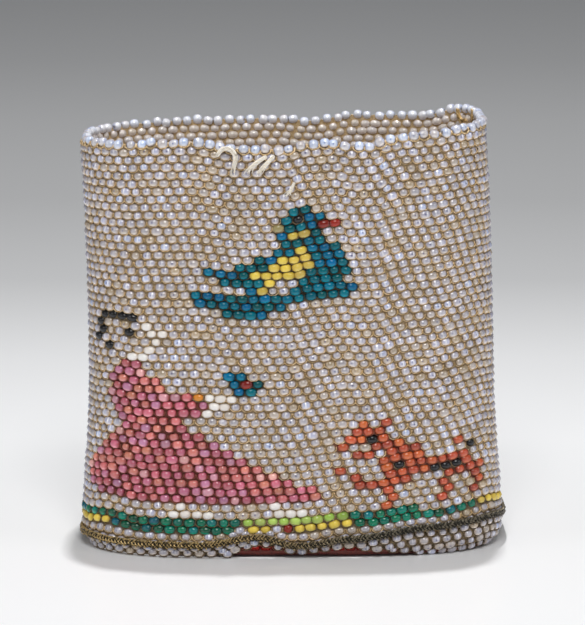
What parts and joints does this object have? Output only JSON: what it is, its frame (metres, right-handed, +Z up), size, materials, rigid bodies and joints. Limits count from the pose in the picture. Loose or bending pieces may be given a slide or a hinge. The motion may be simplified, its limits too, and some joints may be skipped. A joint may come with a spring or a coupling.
{
  "type": "pouch",
  "caption": "Small open bead-woven pouch with a flattened oval plan, a beaded rim, coloured bead motifs, a braided foot and a red bead base.",
  "frame": {"origin": "middle of the floor contact, under the middle of the bounding box", "axes": "+Z up, the motif side faces -Y, +X to the right seen from the front"},
  "size_m": [0.1052, 0.0557, 0.1041],
  "materials": {
    "opal_beads": "opalescent glass beads on tan linen thread",
    "rim_opal_beads": "larger opalescent glass beads",
    "metal_thread": "tarnished plaited metal thread",
    "base_red_beads": "clear dark red glass beads",
    "linen_thread": "waxed linen thread",
    "blue_beads": "teal blue glass beads",
    "yellow_beads": "opaque yellow glass beads",
    "red_beads": "red glass beads",
    "black_beads": "glossy black glass beads",
    "white_beads": "opaque white glass beads",
    "pink_beads": "opaque pink glass beads in mixed tints",
    "orange_beads": "orange red glass beads",
    "green_beads": "clear green glass beads",
    "lime_beads": "opaque lime glass beads"
  },
  "bodies": {
    "root": {"beadwork_wall": "opal_beads", "rim_beads": "rim_opal_beads", "metal_thread_braid": "metal_thread", "red_bead_base": "base_red_beads", "thread_loop": "linen_thread", "thread_end_left": "linen_thread", "thread_end_right": "linen_thread", "thread_fray": "linen_thread", "bird_blue_beads": "blue_beads", "bird_wing_yellow_beads": "yellow_beads", "bird_beak_red_beads": "red_beads", "flower_blue_beads": "blue_beads", "flower_centre_red_bead": "red_beads", "lady_hair_black_beads": "black_beads", "lady_face_white_beads": "white_beads", "gown_pink_beads": "pink_beads", "hand_white_beads": "white_beads", "left_shoe_white_beads": "white_beads", "right_shoe_white_beads": "white_beads", "dog_orange_beads": "orange_beads", "dog_collar_black_beads": "black_beads", "dog_eye_black_bead": "black_beads", "bird_eye_black_bead": "black_beads", "dog_tail_orange_bead": "orange_beads", "band_upper_green_left": "green_beads", "band_upper_lime": "lime_beads", "band_upper_green_right": "green_beads", "band_lower_yellow_left": "yellow_beads", "band_lower_green_left": "green_beads", "band_lower_yellow_middle": "yellow_beads", "band_lower_green_right": "green_beads", "band_lower_yellow_right": "yellow_beads"}
  },
  "joints": []
}
